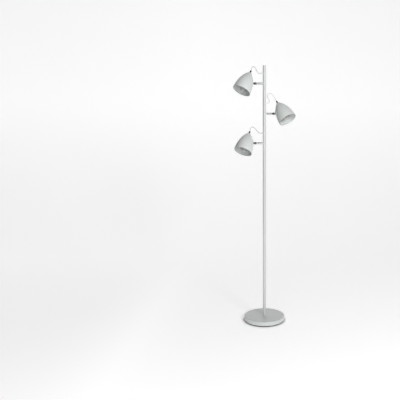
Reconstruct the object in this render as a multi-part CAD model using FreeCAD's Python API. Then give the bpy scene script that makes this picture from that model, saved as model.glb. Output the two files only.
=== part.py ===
import FreeCAD, Part
import math
import os

# Tree floor lamp. Millimetres, +Z up. The origin is on the floor, under the middle of the pole.
# The lamp is seen from the -Y side: the upper and lower heads stand out to -X, the middle one to +X.

V = FreeCAD.Vector
X_AXIS, Y_AXIS, Z_AXIS = V(1, 0, 0), V(0, 1, 0), V(0, 0, 1)
ORIGIN = V(0, 0, 0)

# ---- Fits ----
running_gap = 0.05      # radial, between a shaft and the bore it turns in
seat_gap = 0.1          # between curved or turning faces that lie on each other
free_gap = 0.3          # between parts that only pass each other
thread_gap = 0.05       # radial, between a thread and its nut or socket

# ---- Base ----
base_diameter = 254.0
base_top = 31.0         # height of the cover's top above the floor
cover_sheet = 1.5
cover_edge_radius = 5.0
pad_setback = 2.5       # from the cover's rim to the pad's
pad_thickness = 6.0
plate_thickness = 1.5
weight_side_gap = 4.5   # between the weight and the cover's wall
weight_thickness = 14.0
weight_chamfer = 4.0
weight_pocket_diameter = 44.0
weight_pocket_depth = 9.0
channel_width = 30.0    # channel for the leads, from the pocket to the back rim

plate_screw_count = 3
plate_screw_setback = 42.0     # from the cover's rim to a screw's middle
plate_screw_first_angle = 30.0
plate_screw_diameter = 4.0
plate_screw_length = 12.0
plate_screw_head_diameter = 7.5
plate_screw_head_height = 2.2
screw_boss_diameter = 15.0

inlet_height = 15.0     # cord inlet, at the back of the cover
inlet_hole_diameter = 9.0
inlet_bore_diameter = 6.5
grommet_flange_diameter = 12.5
grommet_flange_thickness = 1.5

block_width = 26.0      # terminal block
block_depth = 20.0
block_height = 11.5
block_distance = 50.0   # from the pole axis to its front face
block_entry_pitch = 8.5
block_entry_depth = 3.0

# ---- Pole ----
pole_height = 1550.0
pole_diameter = 19.0
pole_wall = 1.2
lower_seam_height = 480.0
upper_seam_drop = 40.0      # from the lowest arm down to the upper seam
seam_chamfer = 0.3
coupler_length = 50.0
coupler_bore_diameter = 13.6
cap_head_thickness = 1.5
cap_plug_length = 10.0
cap_plug_wall = 1.6

foot_plug_length = 25.0
foot_thread_diameter = 16.2
foot_thread_end_height = 18.5
foot_nut_flange_diameter = 32.0
foot_nut_flange_thickness = 1.5
foot_nut_width = 24.0
foot_nut_height = 5.3

# ---- Arms ----
upper_arm_drop = 102.0  # from the pole's top down to the upper arm
arm_spacing = 171.5
boss_diameter = 13.6
boss_reach = 17.0       # from the pole axis to the boss's outer face
boss_tail_diameter = 11.0
boss_tail_start = 5.5   # from the pole axis to the flat inner end
boss_round = 1.5
spigot_diameter = 7.0
spigot_start = 2.9
arm_nut_width = 10.0
arm_nut_thickness = 2.0
arm_diameter = 11.4
arm_end = 46.3          # from the pole axis to the arm's outer end
arm_chamfer = 0.4

# ---- Knuckle ----
knuckle_reach = 55.5    # from the pole axis to the hinge pin
fork_stud_diameter = 5.0
fork_stud_length = 9.0
fork_lug_diameter = 12.2
fork_width = 10.4
fork_neck_height = 9.0
fork_slot_width = 4.3
fork_slot_depth = 6.6   # from the hinge pin to the slot's floor
tongue_diameter = 11.8
tongue_neck_height = 8.0
tongue_side_gap = 0.1
tongue_foot_diameter = 12.0
tongue_foot_thickness = 2.2
hinge_pin_diameter = 4.0
hinge_head_diameter = 7.5
hinge_head_height = 2.0

# ---- Shade: a bell turned from three tangent arcs; angles are from its axis ----
shade_wall = 1.0
crown_flat_radius = 6.0
crown_arc_radius = 6.0
shoulder_arc_radius = 136.0
flank_arc_radius = 214.0
crown_angle = 44.3
shoulder_angle = 20.8
rim_angle = 0.2
bracket_angle = 19.0    # slope of the flank where the bracket sits
bracket_reach = 11.5    # from the shade's wall to the hinge pin
bracket_diameter = 38.0
bracket_thickness = 2.0
bracket_stud_diameter = 5.0
bracket_stud_length = 6.0
bracket_nut_width = 8.0
bracket_nut_thickness = 3.5
bracket_nut_gap = 0.4   # a flat nut inside a round wall stands off by this much

# ---- Cord grip, lampholder and bulb, measured down the shade's axis from its top ----
gland_collar_diameter = 11.6
gland_collar_height = 2.5
gland_body_diameter = 10.0
gland_waist_diameter = 8.6
gland_height = 15.0
gland_tip_diameter = 7.4
gland_shank_diameter = 9.9
gland_shank_length = 8.0
holder_neck_diameter = 13.0
holder_neck_length = 8.0
holder_diameter = 28.0
holder_cone_length = 9.0
holder_end = 64.0
socket_diameter = 14.6
bulb_diameter = 45.0
bulb_tip = 120.0
bulb_length = 78.0
bulb_glass_wall = 0.8
bulb_neck_diameter = 12.6
bulb_neck_inside = 13.0     # how far the neck reaches into the cap
bulb_neck_length = 15.0
bulb_cap_diameter = 13.8
bulb_cap_length = 25.0
bulb_cap_wall = 0.5
bulb_contact_diameter = 7.0
bulb_contact_height = 2.0
bulb_stem_diameter = 4.0
bulb_stem_length = 34.0
bulb_flare_thickness = 1.0
bulb_flare_length = 6.0
filament_count = 4
filament_diameter = 1.4
filament_height = 24.0
filament_top_spread = 4.5   # from the bulb's axis to a filament's ends
filament_bottom_spread = 8.5
filament_wire_diameter = 0.8

# ---- Leads ----
lead_diameter = 3.6
lead_bore_gap = 0.15    # radial, round a lead in its bore
lead_row_pitch = 4.0    # the three leads stand in a row inside the pole
outlet_rise = 58.5      # from an arm up to its lead's outlet
outlet_base_diameter = 11.5
outlet_tip_diameter = 6.2
outlet_length = 9.0
outlet_tail_diameter = 6.0
outlet_tail_start = 7.0
outlet_straight = 2.5    # that a lead stays straight beyond its outlet
lead_joint_reach = 12.0  # from the pole axis to where a lead leaves the pole's wiring
lead_entry_height = 13.5  # height of the leads on their way to the terminal block
lead_cross_over = 30.0   # height over which a lead moves to the middle of the pole
lead_inner_radius = 5.0  # largest bend inside the base and the pole
lead_straight = 5.0      # that a lead stays straight before its cord grip
lead_end_height = 9.0    # height above the shade at which it is clamped in the grip

# ---- Heads: where each stands, how it is turned, and its lead's route ----
# side is +1 out to +X and -1 out to -X. swivel turns the arm so that the mouth faces forward,
# and bend is how far the knuckle is bent outward from straight. row is the lead's place in the pole.
# A route runs from the outlet to the cord grip: (out from the pole axis, back, up from the arm).
HEADS = [
    {
        "name": "upper", "side": -1, "level": 0, "swivel": 20.5, "bend": 4.3,
        "row": -1, "entry": 1,
        "route": [
            (32.0, 2.5, 57.5), (41.0, 8.5, 67.0), (48.0, 14.0, 79.0), (55.5, 20.0, 95.0),
            (66.0, 26.0, 100.0), (75.5, 30.5, 93.5),
        ],
    },
    {
        "name": "middle", "side": 1, "level": 1, "swivel": 25.8, "bend": 8.6,
        "row": 1, "entry": 0,
        "route": [
            (29.0, 1.5, 64.0), (29.0, 6.0, 78.0), (21.0, 9.5, 90.0), (15.0, 12.5, 104.0),
            (23.0, 16.5, 116.0), (38.0, 20.5, 119.5), (50.0, 26.0, 110.5), (59.0, 32.5, 94.5),
        ],
    },
    {
        "name": "lower", "side": -1, "level": 2, "swivel": 26.7, "bend": -2.2,
        "row": 0, "entry": -1,
        "route": [
            (31.0, 2.5, 59.0), (39.5, 9.0, 68.5), (49.5, 16.5, 80.0), (60.0, 24.5, 91.0),
            (73.0, 32.5, 98.0), (83.0, 38.0, 90.0),
        ],
    },
]

# ---- Sizes that follow from the ones above ----
base_radius = base_diameter / 2
weight_radius = base_radius - cover_sheet - weight_side_gap
upper_arm_height = pole_height - upper_arm_drop
upper_seam_height = upper_arm_height - 2 * arm_spacing - upper_seam_drop
pole_radius = pole_diameter / 2
pole_bore_radius = pole_radius - pole_wall
plug_radius = pole_bore_radius - seat_gap / 2
glass_open_end = bulb_length + bulb_neck_inside - bulb_cap_length - bulb_tip
weight_bottom = base_top - cover_sheet - weight_thickness
pocket_ceiling = weight_bottom + weight_pocket_depth
plate_top = pad_thickness + plate_thickness
lead_bore_radius = lead_diameter / 2 + lead_bore_gap


def cylinder(diameter, start, end, axis=Z_AXIS):
    """A round bar along an axis through the origin, from one distance to another."""
    low, high = min(start, end), max(start, end)
    return Part.makeCylinder(diameter / 2, high - low, axis * low, axis)


def ring(outer, inner, start, end, axis=Z_AXIS):
    """A tube or washer along an axis through the origin."""
    return cylinder(outer, start, end, axis).cut(cylinder(inner, start, end, axis))


def hexagon(width, start, end, axis=Z_AXIS):
    """A hexagonal bar of that width across its flats, along an axis through the origin."""
    corner = width / math.sqrt(3)
    turns = [math.radians(60 * n) for n in range(7)]
    outline = Part.makePolygon([V(corner * math.cos(t), corner * math.sin(t), 0) for t in turns])
    bar = Part.Face(outline).extrude(V(0, 0, end - start))
    bar.translate(V(0, 0, start))
    bar.Placement = FreeCAD.Placement(ORIGIN, FreeCAD.Rotation(Z_AXIS, axis)).multiply(bar.Placement)
    return bar


def turned(edges):
    """A solid of revolution about Z from edges in the XZ plane that close an outline."""
    return Part.Face(Part.Wire(edges)).revolve(ORIGIN, Z_AXIS, 360)


def turned_polygon(corners):
    """A solid of revolution about Z from (radius, height) corners."""
    points = [V(r, 0, z) for r, z in corners]
    return turned(Part.makePolygon(points + points[:1]).Edges)


def round_edges(shape, radius, chosen):
    """Round those edges of a shape for which chosen(edge) is true."""
    return shape.makeFillet(radius, [edge for edge in shape.Edges if chosen(edge)])


def compound(shapes):
    """Several separate solids that share one node."""
    return Part.makeCompound(shapes)


# ---- Shade outline, as (radius, height) points with the shade's top at height 0 ----

def step(centre, angle, distance):
    """The point at that distance from centre, square to a wall whose slope is that angle."""
    slope = math.radians(angle)
    return centre[0] + distance * math.cos(slope), centre[1] + distance * math.sin(slope)


crown_centre = (crown_flat_radius, -crown_arc_radius)
shoulder_centre = step(crown_centre, crown_angle, crown_arc_radius - shoulder_arc_radius)
flank_centre = step(shoulder_centre, shoulder_angle, shoulder_arc_radius - flank_arc_radius)


def slope_arc(centre, radius, first, last):
    """An arc of the outline, from the slope first to the slope last."""
    points = [step(centre, angle, radius) for angle in (first, (first + last) / 2, last)]
    return Part.Arc(*[V(r, 0, z) for r, z in points]).toShape()


def shade_outline(offset):
    """The bell's outline from its middle to its mouth, offset outward from its outer face."""
    return [
        Part.makeLine(V(0, 0, offset), V(crown_flat_radius, 0, offset)),
        slope_arc(crown_centre, crown_arc_radius + offset, 90, crown_angle),
        slope_arc(shoulder_centre, shoulder_arc_radius + offset, crown_angle, shoulder_angle),
        slope_arc(flank_centre, flank_arc_radius + offset, shoulder_angle, rim_angle),
    ]


def bell(outer_offset, inner_offset):
    """A turned shell between two offsets of the outline, open at the mouth."""
    outer, inner = shade_outline(outer_offset), shade_outline(inner_offset)
    mouth = Part.makeLine(outer[-1].Vertexes[-1].Point, inner[-1].Vertexes[-1].Point)
    axis = Part.makeLine(V(0, 0, inner_offset), V(0, 0, outer_offset))
    return turned(Part.__sortEdges__(outer + [mouth] + inner[::-1] + [axis]))


# ---- Where the bracket sits, in the shade's own frame: its top at the origin, its mouth down ----
bracket_normal = V(-math.cos(math.radians(bracket_angle)), 0, math.sin(math.radians(bracket_angle)))
bracket_radius, bracket_height = step(flank_centre, bracket_angle, flank_arc_radius)
bracket_point = V(-bracket_radius, 0, bracket_height)
hinge_point = bracket_point + bracket_normal * bracket_reach


def on_bracket(shape):
    """Move a shape made along +Z so that +Z is the bracket's normal and its origin is on the wall."""
    turn = FreeCAD.Rotation(Z_AXIS, bracket_normal)
    shape.Placement = FreeCAD.Placement(bracket_point, turn).multiply(shape.Placement)
    return shape


# ---- Base ----

def base_pad():
    pad = cylinder(2 * (base_radius - pad_setback), 0, pad_thickness)
    for x, y in plate_screw_places():
        hole = cylinder(plate_screw_head_diameter + 4 * free_gap, 0, pad_thickness)
        hole.translate(V(x, y, 0))
        pad = pad.cut(hole)
    return pad


def plate_screw_places():
    angles = [plate_screw_first_angle + n * 360 / plate_screw_count for n in range(plate_screw_count)]
    radius = base_radius - plate_screw_setback
    return [(radius * math.cos(math.radians(a)), radius * math.sin(math.radians(a))) for a in angles]


def base_plate():
    plate = cylinder(2 * (base_radius - cover_sheet - free_gap), pad_thickness, plate_top)
    for x, y in plate_screw_places():
        hole = cylinder(plate_screw_diameter + free_gap, pad_thickness, plate_top)
        hole.translate(V(x, y, 0))
        plate = plate.cut(hole)
    return plate


def base_plate_screws():
    screws = []
    for x, y in plate_screw_places():
        head = cylinder(plate_screw_head_diameter, pad_thickness - plate_screw_head_height, pad_thickness)
        shank = cylinder(plate_screw_diameter, pad_thickness, pad_thickness + plate_screw_length)
        screw = head.fuse(shank).removeSplitter()
        screw.translate(V(x, y, 0))
        screws.append(screw)
    return compound(screws)


def base_weight():
    weight = turned_polygon([
        (0, weight_bottom), (weight_radius, weight_bottom),
        (weight_radius, base_top - cover_sheet - weight_chamfer),
        (weight_radius - weight_chamfer, base_top - cover_sheet), (0, base_top - cover_sheet),
    ])
    for x, y in plate_screw_places():
        foot = cylinder(screw_boss_diameter, plate_top, weight_bottom + 1)
        thread = cylinder(
            plate_screw_diameter + 2 * thread_gap, plate_top,
            pad_thickness + plate_screw_length + free_gap,
        )
        foot.translate(V(x, y, 0))
        thread.translate(V(x, y, 0))
        weight = weight.fuse(foot).cut(thread)
    channel = Part.makeBox(
        channel_width, 2 * weight_radius, weight_pocket_depth, V(-channel_width / 2, 0, weight_bottom)
    )
    pocket = cylinder(weight_pocket_diameter, weight_bottom, pocket_ceiling)
    pole_hole = cylinder(foot_thread_diameter + 2 * free_gap, weight_bottom, base_top)
    return weight.cut(channel).cut(pocket).cut(pole_hole).removeSplitter()


def base_cover():
    inner = base_radius - cover_sheet
    middle = V(base_radius - cover_edge_radius, 0, base_top - cover_edge_radius)
    diagonal = V(math.sqrt(0.5), 0, math.sqrt(0.5))

    def edge_arc(size):
        ends = (V(size, 0, 0), diagonal * size, V(0, 0, size))
        return Part.Arc(*[middle + end for end in ends]).toShape()

    outer_arc, inner_arc = edge_arc(cover_edge_radius), edge_arc(cover_edge_radius - cover_sheet)
    top, under = base_top, base_top - cover_sheet
    cover = turned(Part.__sortEdges__([
        Part.makeLine(V(base_radius, 0, pad_thickness), V(base_radius, 0, middle.z)),
        outer_arc,
        Part.makeLine(V(middle.x, 0, top), V(0, 0, top)),
        Part.makeLine(V(0, 0, top), V(0, 0, under)),
        Part.makeLine(V(0, 0, under), V(middle.x, 0, under)),
        inner_arc,
        Part.makeLine(V(inner, 0, middle.z), V(inner, 0, pad_thickness)),
        Part.makeLine(V(inner, 0, pad_thickness), V(base_radius, 0, pad_thickness)),
    ]))
    pole_hole = cylinder(foot_thread_diameter + 2 * free_gap, under, top)
    inlet = cylinder(inlet_hole_diameter + 2 * seat_gap, inner - 1, base_radius + 1, Y_AXIS)
    inlet.translate(V(0, 0, inlet_height))
    return cover.cut(pole_hole).cut(inlet)


def cord_grommet():
    inner_face = base_radius - cover_sheet - free_gap
    outer_face = base_radius + seat_gap
    body = cylinder(inlet_hole_diameter, inner_face, outer_face, Y_AXIS)
    inside = cylinder(
        grommet_flange_diameter, inner_face - grommet_flange_thickness, inner_face, Y_AXIS
    )
    outside = cylinder(
        grommet_flange_diameter, outer_face, outer_face + grommet_flange_thickness, Y_AXIS
    )
    grommet = body.fuse([inside, outside]).removeSplitter()
    grommet = grommet.cut(cylinder(inlet_bore_diameter, 0, 2 * base_radius, Y_AXIS))
    grommet.translate(V(0, 0, inlet_height))
    return grommet


def terminal_block():
    block = Part.makeBox(
        block_width, block_depth, block_height, V(-block_width / 2, block_distance, plate_top)
    )
    for n in (-1, 0, 1):
        for start in (block_distance, block_distance + block_depth - block_entry_depth):
            entry = cylinder(2 * lead_bore_radius, start, start + block_entry_depth, Y_AXIS)
            entry.translate(V(n * block_entry_pitch, 0, lead_entry_height))
            block = block.cut(entry)
    return block


def pole_foot_stud():
    plug = cylinder(2 * plug_radius, base_top + seat_gap, base_top + foot_plug_length)
    thread = cylinder(foot_thread_diameter, foot_thread_end_height, base_top + foot_plug_length)
    bore = cylinder(coupler_bore_diameter, foot_thread_end_height, base_top + foot_plug_length)
    return plug.fuse(thread).removeSplitter().cut(bore)


def base_nut():
    flange = cylinder(
        foot_nut_flange_diameter, pocket_ceiling - foot_nut_flange_thickness, pocket_ceiling
    )
    grip = hexagon(foot_nut_width, pocket_ceiling - foot_nut_height, pocket_ceiling)
    bore = cylinder(foot_thread_diameter + 2 * thread_gap, weight_bottom - 5, pocket_ceiling)
    return flange.fuse(grip).removeSplitter().cut(bore)


# ---- Pole ----

def pole_tube(bottom, top):
    """A length of pole with a fine chamfer at each end, which shows as a hairline at a joint."""
    edge = pole_radius - seam_chamfer
    return turned_polygon([
        (pole_bore_radius, bottom), (edge, bottom), (pole_radius, bottom + seam_chamfer),
        (pole_radius, top - seam_chamfer), (edge, top), (pole_bore_radius, top),
    ])


def arm_height(head):
    return upper_arm_height - head["level"] * arm_spacing


def upper_pole_tube():
    tube = pole_tube(upper_seam_height, pole_height - cap_head_thickness)
    for head in HEADS:
        outward = X_AXIS * head["side"]
        arm_hole = cylinder(boss_tail_diameter + 2 * seat_gap, 0, pole_diameter, outward)
        arm_hole.translate(V(0, 0, arm_height(head)))
        lead_hole = cylinder(outlet_tail_diameter + 2 * seat_gap, 0, pole_diameter, outward)
        lead_hole.translate(V(0, 0, arm_height(head) + outlet_rise))
        tube = tube.cut(arm_hole).cut(lead_hole)
    return tube


def pole_couplers():
    half = coupler_length / 2
    return compound([
        ring(2 * plug_radius, coupler_bore_diameter, seam - half, seam + half)
        for seam in (lower_seam_height, upper_seam_height)
    ])


def pole_cap():
    under = pole_height - cap_head_thickness
    head = turned_polygon([
        (0, under), (pole_radius, under), (pole_radius, pole_height - seam_chamfer),
        (pole_radius - seam_chamfer, pole_height), (0, pole_height),
    ])
    plug = ring(2 * plug_radius, 2 * (plug_radius - cap_plug_wall), under - cap_plug_length, under)
    return head.fuse(plug).removeSplitter()


def saddle_cut(shape):
    """Take the pole's outer cylinder out of a shape that stands on it, round the origin's height."""
    pole = cylinder(pole_diameter + seat_gap, -pole_diameter, pole_diameter)
    return shape.cut(pole)


def place_on_pole(shape, head, rise=0.0):
    """Turn a shape made out to +X to the head's side, and lift it to the arm plus that rise."""
    if head["side"] < 0:
        shape.rotate(ORIGIN, Z_AXIS, 180)
    shape.translate(V(0, 0, arm_height(head) + rise))
    return shape


def arm_boss(head):
    body = cylinder(boss_diameter, 0, boss_reach, X_AXIS)
    body = round_edges(body, boss_round, lambda edge: edge.BoundBox.XMin > boss_reach - 0.01)
    tail = cylinder(boss_tail_diameter, boss_tail_start, boss_reach - 2, X_AXIS)
    bore = cylinder(spigot_diameter + 2 * running_gap, 0, boss_reach, X_AXIS)
    boss = saddle_cut(body).fuse(tail).removeSplitter().cut(bore)
    return place_on_pole(boss, head)


def lead_outlet(head):
    tip = pole_radius + outlet_length
    taper = (outlet_base_diameter - outlet_tip_diameter) / 2 / outlet_length
    root = outlet_base_diameter / 2 + taper * pole_radius
    cone = Part.makeCone(root, outlet_tip_diameter / 2, tip, ORIGIN, X_AXIS)
    narrow = cylinder(outlet_tail_diameter, outlet_tail_start, tip - 1, X_AXIS)
    bore = cylinder(2 * lead_bore_radius, 0, tip, X_AXIS)
    outlet = saddle_cut(cone).fuse(narrow).removeSplitter().cut(bore)
    return place_on_pole(outlet, head, outlet_rise)


# ---- Leads ----

def tangent_tube(points, diameter, label, largest_radius=None):
    """A round tube along straight runs, joined by arcs as large as the runs or the limit allow."""
    runs = [b - a for a, b in zip(points, points[1:])]
    start, edges, radii = points[0], [], []
    for corner, before, after in zip(points[1:], runs, runs[1:]):
        half_turn = before.getAngle(after) / 2
        radius = 0.45 * min(before.Length, after.Length) / math.tan(half_turn)
        if largest_radius:
            radius = min(radius, largest_radius)
        into = before / before.Length
        out = after / after.Length
        reach = radius * math.tan(half_turn)
        inward = (out - into) / (out - into).Length
        middle = corner + inward * (radius / math.cos(half_turn) - radius)
        edges.append(Part.LineSegment(start, corner - into * reach).toShape())
        edges.append(Part.Arc(corner - into * reach, middle, corner + out * reach).toShape())
        start = corner + out * reach
        radii.append(radius)
    edges.append(Part.LineSegment(start, points[-1]).toShape())
    path = Part.Wire(edges)
    circle = Part.makeCircle(diameter / 2, points[0], runs[0])
    tube = path.makePipeShell([Part.Wire([circle])], True, False)
    expected = math.pi * (diameter / 2) ** 2 * path.Length
    print(f"{label}: length {path.Length:.1f}, volume ratio {tube.Volume / expected:.5f}")
    print(f"{label}: bend radii {' '.join(f'{radius:.1f}' for radius in radii)}")
    return tube


def pole_wiring():
    """The stretches of the leads inside the pole: from the terminal block up to each outlet."""
    leads = []
    for head in HEADS:
        row = head["row"] * lead_row_pitch
        entry = head["entry"] * block_entry_pitch
        level = arm_height(head) + outlet_rise
        points = [V(entry, block_distance + block_entry_depth, lead_entry_height)]
        if entry:
            points.append(V(entry, row, lead_entry_height))
        points.append(V(0, row, lead_entry_height))
        if row:
            points.append(V(0, row, level - 2 * lead_cross_over))
            points.append(V(0, 0, level - lead_cross_over))
        points.append(V(0, 0, level))
        points.append(V(head["side"] * lead_joint_reach, 0, level))
        label = head["name"] + " wiring"
        leads.append(tangent_tube(points, lead_diameter, label, lead_inner_radius))
    return compound(leads)


def lead(head):
    """The lead that shows: out of its outlet, over to the cord grip and down into the lampholder."""
    level, side = arm_height(head), head["side"]
    outlet = [
        V(side * lead_joint_reach, 0, level + outlet_rise),
        V(side * (pole_radius + outlet_length + outlet_straight), 0, level + outlet_rise),
    ]
    free = [V(side * out, back, level + up) for out, back, up in head["route"]]
    holder = [
        place_head_point(V(0, 0, gland_height + lead_straight), head),
        place_head_point(V(0, 0, lead_end_height), head),
    ]
    return tangent_tube(outlet + free + holder, lead_diameter, head["name"] + " lead")


# ---- Arms and knuckles, made out to +X at the origin's height ----

def place_arm(shape, head):
    """Swivel a piece of the arm about the arm's axis, then set it on the pole."""
    shape.rotate(ORIGIN, X_AXIS, -head["side"] * head["swivel"])
    return place_on_pole(shape, head)


def arm_tube(head):
    body = cylinder(arm_diameter, boss_reach + seat_gap, arm_end, X_AXIS)
    body = body.makeChamfer(arm_chamfer, [e for e in body.Edges if e.Closed])
    spigot = cylinder(spigot_diameter, spigot_start, boss_reach + 2, X_AXIS)
    socket = cylinder(
        fork_stud_diameter + 2 * thread_gap, arm_end - fork_stud_length - free_gap, arm_end, X_AXIS
    )
    return place_arm(body.fuse(spigot).removeSplitter().cut(socket), head)


def arm_nut(head):
    face = boss_tail_start - seat_gap
    nut = hexagon(arm_nut_width, face - arm_nut_thickness, face, X_AXIS)
    bore = cylinder(spigot_diameter + 2 * thread_gap, 0, boss_tail_start, X_AXIS)
    return place_arm(nut.cut(bore), head)


def knuckle_fork(head):
    stud = cylinder(fork_stud_diameter, arm_end - fork_stud_length, arm_end + 1, X_AXIS)
    collar = cylinder(arm_diameter, arm_end, knuckle_reach - fork_slot_depth, X_AXIS)
    lugs = cylinder(fork_lug_diameter, -fork_width / 2, fork_width / 2, Y_AXIS)
    lugs.translate(V(knuckle_reach, 0, 0))
    neck_start = arm_end + 1
    neck = Part.makeBox(
        knuckle_reach - neck_start, fork_width, fork_neck_height,
        V(neck_start, -fork_width / 2, -fork_neck_height / 2),
    )
    slot = Part.makeBox(
        2 * fork_lug_diameter, fork_slot_width, 2 * fork_lug_diameter,
        V(knuckle_reach - fork_slot_depth, -fork_slot_width / 2, -fork_lug_diameter),
    )
    hole = cylinder(hinge_pin_diameter + 2 * thread_gap, -fork_width, fork_width, Y_AXIS)
    hole.translate(V(knuckle_reach, 0, 0))
    around_arm = cylinder(fork_lug_diameter, 0, 2 * knuckle_reach, X_AXIS)
    fork = collar.fuse([neck.common(around_arm), lugs, stud]).removeSplitter()
    return place_arm(fork.cut(slot).cut(hole), head)


def knuckle_pin(head):
    face = fork_width / 2
    pin = cylinder(hinge_pin_diameter, -face - 1, face + 1, Y_AXIS)
    for direction in (Y_AXIS, Y_AXIS * -1):
        pin_head = cylinder(hinge_head_diameter, face, face + hinge_head_height, direction)
        pin_head = round_edges(
            pin_head, hinge_head_height / 2,
            lambda edge: edge.Closed and abs(edge.BoundBox.Center.y) > face + 1,
        )
        pin = pin.fuse(pin_head)
    pin = pin.removeSplitter()
    pin.translate(V(knuckle_reach, 0, 0))
    return place_arm(pin, head)


# ---- Heads, made in the shade's own frame: its top at the origin, its mouth down ----

def head_placement(head):
    """Hinge on the arm, wall slope and knuckle bend as one lean, then the arm's swivel and side."""
    lean = FreeCAD.Rotation(Y_AXIS, -(bracket_angle + head["bend"]))
    swivel = FreeCAD.Rotation(X_AXIS, -head["side"] * head["swivel"])
    to_side = FreeCAD.Rotation(Z_AXIS, 0 if head["side"] > 0 else 180)
    turn = to_side.multiply(swivel).multiply(lean)
    hinge = V(head["side"] * knuckle_reach, 0, arm_height(head))
    return FreeCAD.Placement(hinge - turn.multVec(hinge_point), turn)


def place_head(shape, head):
    shape.Placement = head_placement(head).multiply(shape.Placement)
    return shape


def place_head_point(point, head):
    return head_placement(head).multVec(point)


def knuckle_tongue(head):
    width = fork_slot_width - 2 * tongue_side_gap
    foot_start = bracket_thickness + 2 * seat_gap
    foot_end = foot_start + tongue_foot_thickness
    eye = Part.makeCylinder(
        tongue_diameter / 2, width, V(0, -width / 2, bracket_reach), Y_AXIS
    )
    neck = Part.makeBox(
        tongue_neck_height, width, bracket_reach - foot_start - 1,
        V(-tongue_neck_height / 2, -width / 2, foot_start + 1),
    )
    foot = cylinder(tongue_foot_diameter, foot_start, foot_end)
    stud = cylinder(bracket_stud_diameter, -bracket_stud_length, foot_start + 1)
    hole = Part.makeCylinder(
        hinge_pin_diameter / 2 + running_gap, width, V(0, -width / 2, bracket_reach), Y_AXIS
    )
    tongue = foot.fuse([eye, neck, stud]).removeSplitter().cut(hole)
    return place_head(on_bracket(tongue), head)


def bracket_plate(head):
    shell = bell(seat_gap + bracket_thickness, seat_gap)
    reach = cylinder(bracket_diameter, -bracket_diameter / 2, bracket_reach)
    hole = cylinder(bracket_stud_diameter + 2 * seat_gap, -bracket_diameter / 2, bracket_reach)
    return place_head(shell.common(on_bracket(reach)).cut(on_bracket(hole)), head)


def bracket_nut(head):
    face = -shade_wall - bracket_nut_gap
    nut = hexagon(bracket_nut_width, face - bracket_nut_thickness, face)
    bore = cylinder(bracket_stud_diameter + 2 * thread_gap, -bracket_stud_length - 1, 0)
    return place_head(on_bracket(nut.cut(bore)), head)


def shade(head):
    shell = bell(0, -shade_wall)
    gland_hole = cylinder(gland_shank_diameter + 2 * seat_gap, -crown_arc_radius, 1)
    stud_hole = cylinder(bracket_stud_diameter + 2 * seat_gap, -3 * shade_wall, shade_wall)
    return place_head(shell.cut(gland_hole).cut(on_bracket(stud_hole)), head)


def gland(head):
    collar, body = gland_collar_diameter / 2, gland_body_diameter / 2
    waist, tip = gland_waist_diameter / 2, gland_tip_diameter / 2
    shank = gland_shank_diameter / 2
    waist_height = gland_collar_height + (gland_height - gland_collar_height) * 0.35
    profile = [
        (0, -gland_shank_length), (shank, -gland_shank_length), (shank, seat_gap),
        (collar, seat_gap), (collar, gland_collar_height), (waist, gland_collar_height),
        (waist, waist_height), (body, waist_height), (body, gland_height * 0.75),
        (tip, gland_height), (lead_bore_radius, gland_height),
        (lead_bore_radius, lead_end_height), (0, lead_end_height),
    ]
    return place_head(turned_polygon(profile), head)


def lampholder(head):
    top = -shade_wall - seat_gap
    neck, body = holder_neck_diameter / 2, holder_diameter / 2
    neck_end = -holder_neck_length
    body_start = neck_end - holder_cone_length
    socket_floor = -(bulb_tip - bulb_length) + seat_gap
    thread = gland_shank_diameter / 2 + thread_gap
    floor = socket_floor + 3
    profile = [
        (0, floor), (socket_diameter / 2 + 3, floor), (socket_diameter / 2 + 3, body_start),
        (thread, neck_end - 1), (thread, top), (neck, top), (neck, neck_end),
        (body, body_start), (body, -holder_end),
        (socket_diameter / 2, -holder_end), (socket_diameter / 2, socket_floor), (0, socket_floor),
    ]
    return place_head(turned_polygon(profile), head)


def bulb_cap(head):
    bottom = -(bulb_tip - bulb_length)
    top = bottom - bulb_cap_length
    outer, contact = bulb_cap_diameter / 2, bulb_contact_diameter / 2
    inner = outer - bulb_cap_wall
    profile = [
        (0, bottom), (contact, bottom), (outer, bottom - bulb_contact_height - 1),
        (outer, top), (inner, top), (inner, bottom - bulb_contact_height - 2),
        (contact, bottom - bulb_contact_height), (0, bottom - bulb_contact_height),
    ]
    return place_head(turned_polygon(profile), head)


def glass_outline(offset):
    """The bulb's outline from its open end down, offset outward: neck, hollow shoulder, ball."""
    ball, neck = bulb_diameter / 2, bulb_neck_diameter / 2
    centre = V(0, 0, ball - bulb_tip)
    neck_end = V(neck + offset, 0, glass_open_end - bulb_neck_length)
    drop = neck_end.z - centre.z
    hollow = (drop ** 2 + neck ** 2 - ball ** 2) / (2 * (ball - neck))
    hollow_centre = V(neck + hollow, 0, neck_end.z)
    inward = (centre - hollow_centre).normalize()
    join = hollow_centre + inward * (hollow - offset)
    halfway = hollow_centre + (inward - X_AXIS).normalize() * (hollow - offset)
    side, bottom = V(ball + offset, 0, centre.z), V(0, 0, centre.z - ball - offset)
    upper = centre + (X_AXIS - inward).normalize() * (ball + offset)
    lower = centre + (X_AXIS - Z_AXIS).normalize() * (ball + offset)
    return [
        Part.makeLine(V(neck + offset, 0, glass_open_end), neck_end),
        Part.Arc(neck_end, halfway, join).toShape(),
        Part.Arc(join, upper, side).toShape(),
        Part.Arc(side, lower, bottom).toShape(),
    ]


def bulb_glass(head):
    outer, inner = glass_outline(0), glass_outline(-bulb_glass_wall)
    lip = Part.makeLine(outer[0].Vertexes[0].Point, inner[0].Vertexes[0].Point)
    axis = Part.makeLine(outer[-1].Vertexes[-1].Point, inner[-1].Vertexes[-1].Point)
    return place_head(turned(Part.__sortEdges__(outer + [axis] + inner[::-1] + [lip])), head)


def rod(start, end, diameter):
    return Part.makeCylinder(diameter / 2, (end - start).Length, start, end - start)


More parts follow.
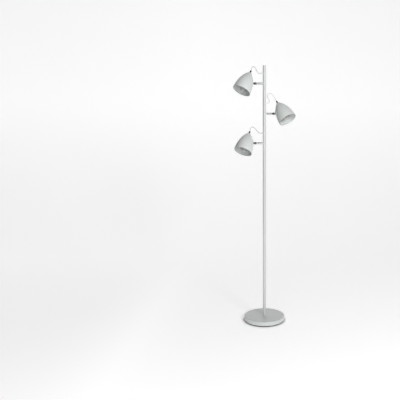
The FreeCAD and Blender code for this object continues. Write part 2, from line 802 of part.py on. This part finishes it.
def bulb_filament(head):
    """The bulb's stem, flared to close the neck, with filaments held between wires."""
    stem, neck = bulb_stem_diameter / 2, bulb_neck_diameter / 2
    seat = glass_open_end + seat_gap
    flare = neck - bulb_glass_wall - seat_gap
    stem_end = seat - bulb_stem_length
    pieces = [turned_polygon([
        (0, seat + bulb_flare_thickness), (neck, seat + bulb_flare_thickness), (neck, seat),
        (flare, seat), (stem, seat - bulb_flare_length), (stem, stem_end), (0, stem_end),
    ])]
    top = stem_end + bulb_stem_diameter / 2
    hub = V(0, 0, top - filament_height)
    pieces.append(rod(V(0, 0, stem_end), hub - Z_AXIS * filament_wire_diameter, filament_wire_diameter))
    for n in range(filament_count):
        turn = FreeCAD.Rotation(Z_AXIS, (n + 0.5) * 360 / filament_count)
        high = turn.multVec(V(filament_top_spread, 0, top))
        low = turn.multVec(V(filament_bottom_spread, 0, hub.z))
        pieces.append(rod(V(0, 0, top), high, filament_wire_diameter))
        pieces.append(rod(high, low, filament_diameter))
        pieces.append(rod(hub, low, filament_wire_diameter))
    return place_head(pieces[0].fuse(pieces[1:]).removeSplitter(), head)


# ---- Write one STEP file per node ----

os.makedirs("parts", exist_ok=True)


def write(name, shape):
    shape.exportStep(f"parts/{name}.step")
    print(f"{name}: {len(shape.Solids)} solid(s), {shape.Volume / 1000:.2f} cm3, valid {shape.isValid()}")


write("base_pad", base_pad())
write("base_plate", base_plate())
write("base_plate_screws", base_plate_screws())
write("base_weight", base_weight())
write("base_cover", base_cover())
write("cord_grommet", cord_grommet())
write("terminal_block", terminal_block())
write("pole_foot_stud", pole_foot_stud())
write("base_nut", base_nut())
write("lower_pole_tube", pole_tube(base_top, lower_seam_height))
write("middle_pole_tube", pole_tube(lower_seam_height, upper_seam_height))
write("upper_pole_tube", upper_pole_tube())
write("pole_couplers", pole_couplers())
write("pole_cap", pole_cap())
write("arm_bosses", compound([arm_boss(head) for head in HEADS]))
write("lead_outlets", compound([lead_outlet(head) for head in HEADS]))
write("pole_wiring", pole_wiring())

HEAD_PARTS = [
    arm_tube, arm_nut, knuckle_fork, knuckle_pin, knuckle_tongue, bracket_plate, bracket_nut,
    shade, gland, lampholder, bulb_cap, bulb_glass, bulb_filament, lead,
]
for each_head in HEADS:
    for make in HEAD_PARTS:
        write(f"{each_head['name']}_{make.__name__}", make(each_head))
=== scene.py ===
import math

import bpy
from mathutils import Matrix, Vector


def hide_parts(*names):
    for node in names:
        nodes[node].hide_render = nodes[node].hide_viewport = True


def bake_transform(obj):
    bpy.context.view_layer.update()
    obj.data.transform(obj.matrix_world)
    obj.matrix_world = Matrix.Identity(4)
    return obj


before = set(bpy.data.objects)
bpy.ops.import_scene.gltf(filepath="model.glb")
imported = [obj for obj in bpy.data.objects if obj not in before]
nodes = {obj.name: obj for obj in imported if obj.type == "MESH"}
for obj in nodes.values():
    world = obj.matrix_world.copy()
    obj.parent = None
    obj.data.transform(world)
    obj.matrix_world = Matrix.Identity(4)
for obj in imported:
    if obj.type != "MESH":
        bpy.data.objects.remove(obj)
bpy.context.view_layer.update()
scene = bpy.context.scene


# ---------------------------------------------------------------- Studio
# A white sweep of paper that glows a little, a soft light at the right front, a wide strip behind
# the camera, a weak light near the floor at the left, and the camera at chest height, tipped down.

camera_data = bpy.data.cameras.new("camera")
camera_data.sensor_width = 36.0
camera_data.lens = 42.22
camera_data.shift_x = -0.161
camera_data.shift_y = 0.067
camera_data.clip_end = 60.0
camera = bpy.data.objects.new("camera", camera_data)
camera.location = (0.0, -2.8414, 1.0987)
camera.rotation_euler = (math.radians(90.0 - 9.97), 0.0, 0.0)
scene.collection.objects.link(camera)
scene.camera = camera


def mesh_object(name, points, faces):
    """A smooth mesh from its points in metres and its faces."""
    mesh = bpy.data.meshes.new(name)
    mesh.from_pydata([tuple(point) for point in points], [], faces)
    mesh.update()
    mesh.polygons.foreach_set("use_smooth", [True] * len(mesh.polygons))
    made = bpy.data.objects.new(name, mesh)
    scene.collection.objects.link(made)
    return made


def paper_sweep():
    """Floor, quarter round and wall in one strip, behind and under the lamp."""
    front, wall, height, half_width = -7.0, 3.2, 6.0, 9.0
    radius, steps = 1.6, 16
    profile = [(front, 0.0), (0.0, 0.0), (wall - radius, 0.0)]
    for step in range(1, steps + 1):
        turn = math.radians(90.0 * step / steps)
        profile.append((wall - radius + radius * math.sin(turn), radius - radius * math.cos(turn)))
    profile.append((wall, height))
    points = [(x, y, z) for y, z in profile for x in (-half_width, half_width)]
    faces = [(2 * n, 2 * n + 1, 2 * n + 3, 2 * n + 2) for n in range(len(profile) - 1)]
    return mesh_object("paper_sweep", points, faces)


def put(tree, kind, inputs=None, **settings):
    """One shader node, with its settings, and its inputs given as values or as sockets."""
    node = tree.nodes.new("ShaderNode" + kind)
    for key, value in settings.items():
        setattr(node, key, value)
    for key, value in (inputs or {}).items():
        if isinstance(value, bpy.types.NodeSocket):
            tree.links.new(value, node.inputs[key])
        else:
            node.inputs[key].default_value = value
    return node


def new_material(name):
    material = bpy.data.materials.new(name)
    material.use_nodes = True
    material.node_tree.nodes.clear()
    return material, material.node_tree


def surface(tree, **inputs):
    """The Principled shader and the material's output; underscores stand for spaces."""
    given = {key.replace("_", " "): value for key, value in inputs.items()}
    shader = put(tree, "BsdfPrincipled", given)
    put(tree, "OutputMaterial", {"Surface": shader.outputs[0]})
    return shader


# The paper glows all over, and a little more at the left, where the key light reaches less: painted
# light that evens the floor.
# Close beside the base the glow fades out, which leaves a darker ring, a painted contact shadow
# added to the real one.
sweep = paper_sweep()
paper, tree = new_material("studio_paper")
ground = put(tree, "NewGeometry").outputs["Position"]
from_lamp = put(tree, "VectorMath", {0: ground}, operation="LENGTH").outputs["Value"]
glow_with_painted_shadow_ring = put(tree, "MapRange", {"Value": from_lamp, "From Min": 0.124, "From Max": 0.147},
           interpolation_type="SMOOTHSTEP").outputs[0]
across = put(tree, "SeparateXYZ", {"Vector": ground}).outputs["X"]
graded = put(tree, "MapRange", {"Value": across, "From Min": -4.0, "From Max": 4.0,
                                "To Min": 0.42, "To Max": 0.30}).outputs[0]
surface(tree, Base_Color=(0.84, 0.84, 0.84, 1.0), Roughness=0.9, Specular_IOR_Level=0.1,
        Emission_Color=glow_with_painted_shadow_ring, Emission_Strength=graded)
sweep.data.materials.append(paper)

world = bpy.data.worlds.new("studio_air")
scene.world = world
world.use_nodes = True
world.node_tree.nodes.clear()
white = (1.0, 1.0, 1.0, 1.0)
room = put(world.node_tree, "Background", {"Color": white, "Strength": 0.30})
backdrop = put(world.node_tree, "Background", {"Color": white, "Strength": 0.92})
seen = put(world.node_tree, "LightPath").outputs["Is Camera Ray"]
air = put(world.node_tree, "MixShader", {0: seen, 1: room.outputs[0], 2: backdrop.outputs[0]})
put(world.node_tree, "OutputWorld", {"Surface": air.outputs[0]})


def soft_light(name, place, target, size, watts):
    """A rectangular area light at one place, turned to face another."""
    data = bpy.data.lights.new(name, "AREA")
    data.shape = "RECTANGLE"
    data.size, data.size_y = size
    data.energy = watts
    lamp = bpy.data.objects.new(name, data)
    lamp.location = place
    lamp.rotation_euler = (Vector(target) - Vector(place)).to_track_quat("-Z", "Y").to_euler()
    scene.collection.objects.link(lamp)


soft_light("key_right", place=(1.9, -3.4, 2.2), target=(0.0, 0.0, 1.1),
           size=(0.9, 0.9), watts=80.0)
soft_light("front_strip", place=(0.1, -3.6, 1.25), target=(0.0, 0.0, 1.2),
           size=(2.2, 0.3), watts=30.0)
soft_light("low_bounce", place=(-0.7, -2.9, 0.3), target=(0.0, 0.0, 1.25),
           size=(0.9, 0.5), watts=9.0)

# A black flag at the left, clear of the floor and kept out of the picture, draws the dark edges
# of the white pieces.
flag_side, flag_near, flag_far, flag_foot, flag_top = -0.75, -1.2, 0.9, 0.5, 2.1
flag = mesh_object("black_flag", [
    (flag_side, flag_near, flag_foot), (flag_side, flag_far, flag_foot),
    (flag_side, flag_far, flag_top), (flag_side, flag_near, flag_top)], [(0, 1, 2, 3)])
flag.visible_camera = False
flag.visible_shadow = False
velvet, tree = new_material("black_velvet")
surface(tree, Base_Color=(0.01, 0.01, 0.01, 1.0), Roughness=1.0, Specular_IOR_Level=0.0)
flag.data.materials.append(velvet)

scene.view_settings.view_transform = "Standard"
scene.view_settings.look = "None"


# ---------------------------------------------------------------- Base pad
# A disc of black closed-cell foam rubber, 6 mm thick, glued under the base.
# It shows as a dark band under the disc.

def group(name, inputs, outputs):
    """An empty shader group with named inputs and outputs, and its two end nodes."""
    tree = bpy.data.node_groups.new(name, "ShaderNodeTree")
    for label, default in inputs.items():
        socket = tree.interface.new_socket(label, in_out="INPUT", socket_type="NodeSocketFloat")
        socket.default_value = default
    for label in outputs:
        tree.interface.new_socket(label, in_out="OUTPUT", socket_type="NodeSocketFloat")
    return tree, tree.nodes.new("NodeGroupInput"), tree.nodes.new("NodeGroupOutput")


def grain_group():
    """Fine pitting and slow cloudiness of a surface, from 0 to 1, at the sizes asked for."""
    tree, start, end = group("grain", {"Fine per metre": 900.0, "Slow per metre": 12.0},
                             ["Fine", "Slow"])
    place = put(tree, "NewGeometry").outputs["Position"]
    fine = put(tree, "TexNoise", {"Vector": place, "Scale": start.outputs["Fine per metre"],
                                  "Detail": 3.0, "Roughness": 0.55})
    slow = put(tree, "TexNoise", {"Vector": place, "Scale": start.outputs["Slow per metre"],
                                  "Detail": 4.0, "Roughness": 0.5})
    tree.links.new(fine.outputs["Fac"], end.inputs["Fine"])
    tree.links.new(slow.outputs["Fac"], end.inputs["Slow"])
    return tree


grain = grain_group()


def dust_group():
    """Dust that settles on faces that look up: how much, with an uneven edge."""
    tree, start, end = group("dust", {"Amount": 0.3, "Clumps per metre": 60.0}, ["Mask"])
    around = put(tree, "NewGeometry")
    up = put(tree, "SeparateXYZ", {"Vector": around.outputs["Normal"]}).outputs["Z"]
    facing = put(tree, "MapRange", {"Value": up, "From Min": 0.3, "From Max": 1.0})
    clumps = put(tree, "TexNoise", {"Vector": around.outputs["Position"],
                                    "Scale": start.outputs["Clumps per metre"], "Detail": 6.0})
    spread = put(tree, "MapRange", {"Value": clumps.outputs["Fac"],
                                    "From Min": 0.35, "From Max": 0.75})
    both = put(tree, "Math", {0: facing.outputs[0], 1: spread.outputs[0]}, operation="MULTIPLY")
    much = put(tree, "Math", {0: both.outputs[0], 1: start.outputs["Amount"]}, operation="MULTIPLY")
    tree.links.new(much.outputs[0], end.inputs["Mask"])
    return tree


dust = dust_group()


def placed(tree, shader_group, **inputs):
    """A shader group put into a material with its own values; underscores stand for spaces."""
    node = tree.nodes.new("ShaderNodeGroup")
    node.node_tree = shader_group
    for key, value in inputs.items():
        node.inputs[key.replace("_", " ")].default_value = value
    return node


def between(tree, mask, low, high):
    """A number that goes from low to high with the mask."""
    return put(tree, "MapRange", {"Value": mask, "To Min": low, "To Max": high}).outputs[0]


def colour_mix(tree, mask, low, high):
    """A colour that goes from low to high with the mask; each is a value or a socket."""
    mixed = put(tree, "Mix", data_type="RGBA")
    tree.links.new(mask, mixed.inputs["Factor"])
    for socket, value in ((mixed.inputs[6], low), (mixed.inputs[7], high)):
        if isinstance(value, bpy.types.NodeSocket):
            tree.links.new(value, socket)
        else:
            socket.default_value = (*value, 1.0)
    return mixed.outputs[2]


def bumped(tree, height, strength, depth):
    return put(tree, "Bump", {"Height": height, "Strength": strength, "Distance": depth}).outputs[0]


def foam_rubber():
    material, tree = new_material("black_foam_rubber")
    cells = placed(tree, grain, Fine_per_metre=1600.0, Slow_per_metre=25.0)
    tone = colour_mix(tree, cells.outputs["Slow"], (0.016, 0.016, 0.017), (0.05, 0.05, 0.05))
    surface(tree, Base_Color=tone, Roughness=0.85,
            Normal=bumped(tree, cells.outputs["Fine"], 0.6, 0.0003))
    return material


def dress(material, *names):
    """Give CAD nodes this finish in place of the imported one."""
    for name in names:
        for slot in nodes[name].material_slots:
            slot.material = material


dress(foam_rubber(), "base_pad")


# ---------------------------------------------------------------- Base plate and screws
# A thin sheet steel plate closes the base from below. Three flat-headed screws hold it.
# Both are bright zinc plated, with the plating's faint spangle.

def zinc_plate():
    material, tree = new_material("zinc_plate")
    place = put(tree, "NewGeometry").outputs["Position"]
    spangle = put(tree, "TexVoronoi", {"Vector": place, "Scale": 260.0})
    fog = placed(tree, grain, Fine_per_metre=700.0, Slow_per_metre=30.0)
    flake = put(tree, "SeparateColor", {"Color": spangle.outputs["Color"]}).outputs[0]
    tone = colour_mix(tree, flake, (0.50, 0.51, 0.53), (0.62, 0.63, 0.64))
    surface(tree, Base_Color=tone, Metallic=1.0,
            Roughness=between(tree, fog.outputs["Slow"], 0.28, 0.46),
            Normal=bumped(tree, fog.outputs["Fine"], 0.15, 0.0001))
    return material


zinc = zinc_plate()
dress(zinc, "base_plate", "base_plate_screws")


# ---------------------------------------------------------------- Base weight
# A cast iron disc inside the cover keeps the lamp upright. It is a rough sand casting,
# dipped in black primer.

def primed_casting():
    material, tree = new_material("primed_casting")
    skin = placed(tree, grain, Fine_per_metre=420.0, Slow_per_metre=40.0)
    tone = colour_mix(tree, skin.outputs["Slow"], (0.02, 0.02, 0.02), (0.055, 0.05, 0.048))
    surface(tree, Base_Color=tone, Roughness=0.7,
            Normal=bumped(tree, skin.outputs["Fine"], 0.7, 0.0006))
    return material


dress(primed_casting(), "base_weight")


# ---------------------------------------------------------------- Base cover
# A pressed steel dish with a rounded edge, sprayed pale white. The paint has a very fine
# orange peel, and a little dust lies on its top. Its copy of the white paint is set darker than
# the shades' copy, painted shade, though the lamp has one paint.

def white_paint(name, dusty, low, high):
    material, tree = new_material(name)
    peel = placed(tree, grain, Fine_per_metre=750.0, Slow_per_metre=9.0)
    fall = placed(tree, dust, Amount=dusty, Clumps_per_metre=45.0)
    paint = colour_mix(tree, peel.outputs["Slow"], low, high)
    tone = colour_mix(tree, fall.outputs["Mask"], paint, (0.55, 0.54, 0.52))
    surface(tree, Base_Color=tone,
            Roughness=between(tree, peel.outputs["Slow"], 0.27, 0.36),
            Coat_Weight=0.15, Coat_Roughness=0.2,
            Normal=bumped(tree, peel.outputs["Fine"], 0.12, 0.00012))
    return material


# Darker copy of the one white paint: painted shade on the base.
dress(white_paint("base_paint_darker_painted_shade", 0.14, (0.53, 0.555, 0.545), (0.56, 0.585, 0.575)), "base_cover")


# ---------------------------------------------------------------- Cord grommet and terminal block
# A black rubber grommet lines the cord hole at the back. Inside the base a white plastic
# terminal block joins the three leads.

def moulded(name, low, high, roughness, fine=1100.0, bump=0.08, **more):
    material, tree = new_material(name)
    skin = placed(tree, grain, Fine_per_metre=fine, Slow_per_metre=35.0)
    surface(tree, Base_Color=colour_mix(tree, skin.outputs["Slow"], low, high),
            Roughness=between(tree, skin.outputs["Slow"], roughness - 0.05, roughness + 0.07),
            Normal=bumped(tree, skin.outputs["Fine"], bump, 0.0001), **more)
    return material


black_rubber = moulded("black_rubber", (0.012, 0.012, 0.012), (0.024, 0.024, 0.024), 0.55)
dress(black_rubber, "cord_grommet")
white_plastic = moulded("white_plastic", (0.74, 0.745, 0.74), (0.79, 0.79, 0.78), 0.25)
dress(white_plastic, "terminal_block")


# ---------------------------------------------------------------- Stud, nut and couplers
# The pole's threaded foot, the flanged nut that clamps it to the weight, and the hollow
# plugs that join the pole's three lengths are zinc plated steel.

dress(zinc, "pole_foot_stud", "base_nut", "pole_couplers",
      "upper_arm_nut", "middle_arm_nut", "lower_arm_nut",
      "upper_bracket_nut", "middle_bracket_nut", "lower_bracket_nut")


# ---------------------------------------------------------------- Pole and cap
# Three lengths of thin steel tube, painted after they are cut, so that a hairline shows
# where they meet. A push-in cap closes the top.

# The pole's copy of the white paint is set darker than the shades' copy, painted shade; the lamp
# has one paint.
pole_paint_darker_painted_shade = white_paint("pole_paint_darker_painted_shade", 0.05, (0.49, 0.515, 0.505), (0.52, 0.545, 0.535))
dress(pole_paint_darker_painted_shade, "lower_pole_tube", "middle_pole_tube", "upper_pole_tube", "pole_cap")


# ---------------------------------------------------------------- Arm bosses
# Turned steel bushes, fixed through the pole's wall and painted with it.
# Each carries the arm that turns in its bore.

# The bosses take the pole's darker copy of the paint, painted shade.
dress(pole_paint_darker_painted_shade, "arm_bosses")


# ---------------------------------------------------------------- Lead outlets
# Small tapered bushes of white plastic, pressed into the pole above the arms,
# guide the leads out of the pole without chafing.

dress(white_plastic, "lead_outlets")


# ---------------------------------------------------------------- Arms and knuckles
# Steel turned to size, polished and chromed, the knuckle a shade darker than the arm. A riveted
# pin holds the tongue in the fork with enough friction for the head to stay where it is put.

def chrome_plate(name, low, high):
    material, tree = new_material(name)
    wipe = placed(tree, grain, Fine_per_metre=1500.0, Slow_per_metre=70.0)
    tone = colour_mix(tree, wipe.outputs["Slow"], low, high)
    surface(tree, Base_Color=tone, Metallic=1.0,
            Roughness=between(tree, wipe.outputs["Slow"], 0.05, 0.16),
            Normal=bumped(tree, wipe.outputs["Fine"], 0.03, 0.00005))
    return material


chrome = chrome_plate("chrome_plate", (0.43, 0.435, 0.44), (0.49, 0.495, 0.50))
dark_chrome = chrome_plate("dark_chrome_plate", (0.17, 0.173, 0.18), (0.23, 0.234, 0.24))
heads = ("upper", "middle", "lower")
for head in heads:
    dress(chrome, head + "_arm_tube")
    dress(dark_chrome, head + "_knuckle_fork", head + "_knuckle_pin", head + "_knuckle_tongue")


# ---------------------------------------------------------------- Shades and their bracket plates
# Each bell is spun from sheet steel and painted inside and out. A round saddle plate,
# bent to the bell's wall, spreads the load of the knuckle's stud.

shade_paint = white_paint("shade_paint", 0.04, (0.595, 0.62, 0.61), (0.62, 0.645, 0.635))
for head in heads:
    dress(shade_paint, head + "_shade", head + "_bracket_plate")


# ---------------------------------------------------------------- Glands and lampholders
# Black moulded plastic: the gland clamps the lead at the top of the bell, and its shank
# screws into the neck of the lampholder inside.

black_plastic = moulded("black_plastic", (0.006, 0.006, 0.007), (0.013, 0.013, 0.014), 0.34,
                        bump=0.04, Specular_IOR_Level=0.25)
for head in heads:
    dress(black_plastic, head + "_gland", head + "_lampholder")


# ---------------------------------------------------------------- Bulbs
# Clear golf ball bulbs with a nickel plated cap. Amber coated rods stand round
# a clear glass stem.

def clear_glass():
    material, tree = new_material("clear_glass")
    wipe = placed(tree, grain, Fine_per_metre=300.0, Slow_per_metre=40.0)
    surface(tree, Base_Color=(0.97, 0.98, 0.98, 1.0), Transmission_Weight=1.0, IOR=1.46,
            Roughness=between(tree, wipe.outputs["Slow"], 0.0, 0.04))
    return material


def amber_rods():
    material, tree = new_material("amber_rods")
    coat = placed(tree, grain, Fine_per_metre=1500.0, Slow_per_metre=90.0)
    tone = colour_mix(tree, coat.outputs["Slow"], (0.55, 0.36, 0.12), (0.66, 0.47, 0.20))
    surface(tree, Base_Color=tone, Roughness=0.4,
            Normal=bumped(tree, coat.outputs["Fine"], 0.3, 0.0001))
    return material


glass = clear_glass()
amber = amber_rods()
nickel_plate = moulded("nickel_plate", (0.55, 0.54, 0.50), (0.66, 0.65, 0.61), 0.25, Metallic=1.0)
for head in heads:
    dress(glass, head + "_bulb_glass")
    dress(amber, head + "_bulb_filament")
    dress(nickel_plate, head + "_bulb_cap")


# ---------------------------------------------------------------- Leads
# Limp round leads with a pale PVC jacket. Each leaves the pole through its outlet, loops
# over to the gland with enough slack for the head to turn, and is clamped there.

lead_diameter = 0.0036
lead_jacket = moulded("lead_jacket", (0.50, 0.51, 0.51), (0.56, 0.565, 0.56), 0.42, fine=1400.0)
dress(lead_jacket, "pole_wiring")

# For each lead its side of the pole, the height of its arm, and its points from the outlet to
# the gland: out from the pole's axis, back, and up from the arm, in metres.
lead_routes = {
    "upper": (-1, 1.448, [
        (0.012, 0.0, 0.0585), (0.021, 0.0, 0.0585), (0.032, 0.0025, 0.0575),
        (0.041, 0.0085, 0.067), (0.048, 0.014, 0.079), (0.0555, 0.020, 0.095),
        (0.066, 0.026, 0.100), (0.0755, 0.0305, 0.0935), (0.0763, 0.03024, 0.08088),
        (0.08065, 0.0267, 0.07142)]),
    "middle": (1, 1.2765, [
        (0.012, 0.0, 0.0585), (0.021, 0.0, 0.0585), (0.029, 0.0015, 0.064),
        (0.029, 0.006, 0.078), (0.021, 0.0095, 0.090), (0.015, 0.0125, 0.104),
        (0.023, 0.0165, 0.116), (0.038, 0.0205, 0.1195), (0.050, 0.026, 0.1105),
        (0.059, 0.0325, 0.0945), (0.06977, 0.03816, 0.07893), (0.07486, 0.03391, 0.07015)]),
    "lower": (-1, 1.105, [
        (0.012, 0.0, 0.0585), (0.021, 0.0, 0.0585), (0.031, 0.0025, 0.059),
        (0.0395, 0.009, 0.0685), (0.0495, 0.0165, 0.080), (0.060, 0.0245, 0.091),
        (0.073, 0.0325, 0.098), (0.083, 0.038, 0.090), (0.08594, 0.03749, 0.07454),
        (0.08912, 0.03276, 0.06514)]),
}


def smooth_line(name, points):
    """The points of a smooth curve whose control points are given."""
    data = bpy.data.curves.new(name, "CURVE")
    data.dimensions = "3D"
    data.resolution_u = 12
    spline = data.splines.new("NURBS")
    spline.points.add(len(points) - 1)
    for control, point in zip(spline.points, points):
        control.co = (*point, 1.0)
    spline.order_u = 3
    spline.use_endpoint_u = True
    drawn = bpy.data.objects.new(name, data)
    scene.collection.objects.link(drawn)
    bpy.context.view_layer.update()
    evaluated = drawn.evaluated_get(bpy.context.evaluated_depsgraph_get())
    mesh = bpy.data.meshes.new_from_object(evaluated)
    line = [vertex.co.copy() for vertex in mesh.vertices]
    bpy.data.objects.remove(drawn)
    bpy.data.meshes.remove(mesh)
    return line


def jacket(name, line, radius, sides=20):
    """A round skin along a line, with its first ring kept from twisting along the way."""
    side = Vector((0.0, 1.0, 0.0))
    last = len(line) - 1
    points, faces = [], []
    for n, here in enumerate(line):
        along = (line[min(n + 1, last)] - line[max(n - 1, 0)]).normalized()
        side = (side - along * side.dot(along)).normalized()
        other = along.cross(side)
        for k in range(sides):
            turn = 2 * math.pi * k / sides
            points.append(here + (side * math.cos(turn) + other * math.sin(turn)) * radius)
    for n in range(last):
        for k in range(sides):
            a, b = n * sides + k, n * sides + (k + 1) % sides
            faces.append((a, b, b + sides, a + sides))
    faces.append(tuple(range(sides))[::-1])
    faces.append(tuple(range(last * sides, len(line) * sides)))
    return mesh_object(name, points, faces)


def run_length(line):
    """The length of a line, in metres."""
    return sum((b - a).length for a, b in zip(line, line[1:]))


for head in heads:
    side, arm_height, route = lead_routes[head]
    line = smooth_line(head + "_lead_line",
                       [(side * out, back, arm_height + up) for out, back, up in route])
    midway = run_length(line) / 2
    half = min(range(len(line)), key=lambda n: abs(run_length(line[:n + 1]) - midway))
    arm = head + "_arm"
    for end, part, bodies in (("pole", line[:half + 1], ("pole", arm)),
                              ("head", line[half:], (arm, head + "_head"))):
        piece = jacket(f"{head}_lead_{end}_half", part, lead_diameter / 2)
        piece.data.materials.append(lead_jacket)
        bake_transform(piece)
        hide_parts(head + "_lead")
